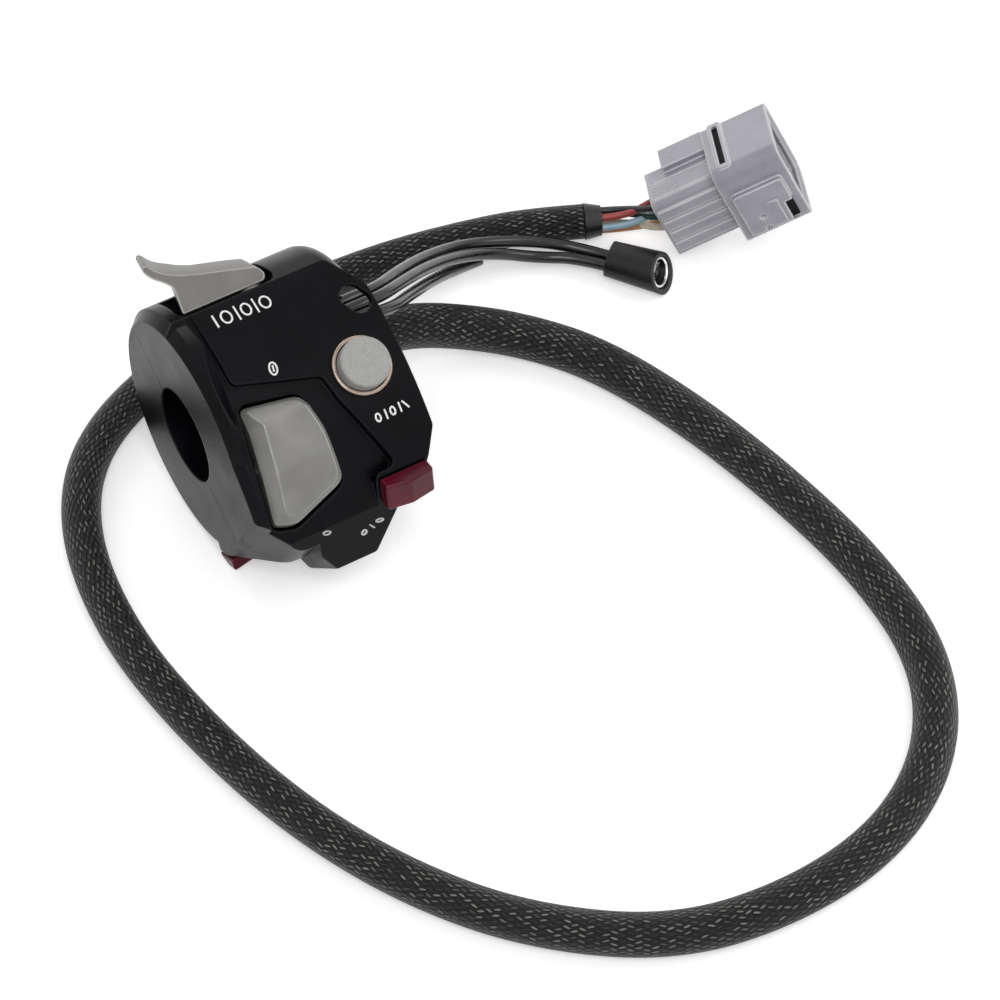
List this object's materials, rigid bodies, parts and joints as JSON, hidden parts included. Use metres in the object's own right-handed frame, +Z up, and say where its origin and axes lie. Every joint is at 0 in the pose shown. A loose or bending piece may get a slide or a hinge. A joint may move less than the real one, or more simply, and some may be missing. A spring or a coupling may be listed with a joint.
{
  "type": "handlebar switch cluster",
  "caption": "Clamp-on handlebar switch housing with thumb lever, rocker, push button, slider, finger trigger and a braided harness ending in a hooded plug.",
  "frame": {"origin": "middle of the handlebar bore, on its axis", "axes": "+X along the handlebar away from the grip, +Z up from the surface the part lies on, the front face leaning back 30 degrees from +Z towards -Y"},
  "size_m": [0.2041, 0.2094, 0.0649],
  "materials": {
    "housing_black": "satin",
    "screw_steel": "bright zinc",
    "spring_steel": "polished",
    "lever_grey": "satin",
    "button_grey": "matte",
    "bezel_beige": "satin",
    "switch_red": "satin",
    "inner_plastic": "matte",
    "board_brown": "matte",
    "contact_brass": "bright",
    "seal_rubber": "matte",
    "braid_black": "woven",
    "tape_black": "satin",
    "lead_black": "smooth",
    "wire_red": "smooth",
    "wire_green": "smooth",
    "wire_blue": "smooth",
    "wire_cream": "smooth",
    "wire_tan": "smooth",
    "plug_grey": "satin",
    "terminal_tin": "tinned"
  },
  "bodies": {
    "housing": {"front_shell": "housing_black", "rear_shell": "housing_black", "clamp_screws": "screw_steel", "harness_grommet": "seal_rubber", "lever_board": "board_brown", "lever_contacts": "contact_brass", "lever_detent_leaf": "screw_steel", "rocker_pins": "screw_steel", "rocker_contacts": "contact_brass", "rocker_board": "board_brown", "button_bezel": "bezel_beige", "button_spring": "spring_steel", "button_contacts": "contact_brass", "button_board": "board_brown", "slider_contacts": "contact_brass", "slider_board": "board_brown", "trigger_pin": "screw_steel", "trigger_spring": "spring_steel", "trigger_contact": "inner_plastic", "inner_loom": "tape_black", "harness": "braid_black", "harness_collar": "tape_black", "plug_housing": "plug_grey", "plug_seal": "seal_rubber", "plug_terminals": "terminal_tin", "pigtail_black": "lead_black", "pigtail_red": "wire_red", "pigtail_green": "wire_green", "pigtail_blue": "wire_blue", "pigtail_cream": "wire_cream", "pigtail_tan": "wire_tan", "lead_upper": "lead_black", "lead_lower": "lead_black", "lead_stub": "lead_black", "lead_boot": "seal_rubber", "boot_terminal": "terminal_tin"},
    "lever": {"thumb_lever": "lever_grey", "lever_wiper": "contact_brass"},
    "rocker": {"rocker_cap": "lever_grey", "rocker_plunger": "spring_steel", "rocker_spring": "spring_steel", "rocker_wiper": "contact_brass"},
    "button": {"button_cap": "button_grey", "button_disc": "contact_brass"},
    "slider": {"slider_knob": "switch_red", "slider_carriage": "inner_plastic", "slider_wiper": "contact_brass"},
    "trigger": {"trigger": "switch_red"}
  },
  "joints": [
    {"name": "lever_turn", "type": "hinge", "parent": "housing", "child": "lever", "pos_m": [-0.0012, 0.00933, 0.02444], "axis": [0, 0.866, 0.5], "range_deg": [-10, 14]},
    {"name": "rocker_tilt", "type": "hinge", "parent": "housing", "child": "rocker", "pos_m": [-0.0108, -0.02221, 0.00727], "axis": [1, 0, 0], "range_deg": [-4, 4]},
    {"name": "button_press", "type": "slide", "parent": "housing", "child": "button", "axis": [0, 0.5, -0.866], "range_m": [0, 0.002], "stiffness_N_per_m": 600, "springref_m": -0.001},
    {"name": "slider_shift", "type": "slide", "parent": "housing", "child": "slider", "axis": [-1, 0, 0], "range_m": [0, 0.0024]},
    {"name": "trigger_pull", "type": "hinge", "parent": "housing", "child": "trigger", "pos_m": [-0.0134, -0.01155, -0.02172], "axis": [0, 0.8829, -0.4695], "range_deg": [0, 5], "stiffness_Nm_per_rad": 0.1, "springref_deg": -2.86}
  ]
}
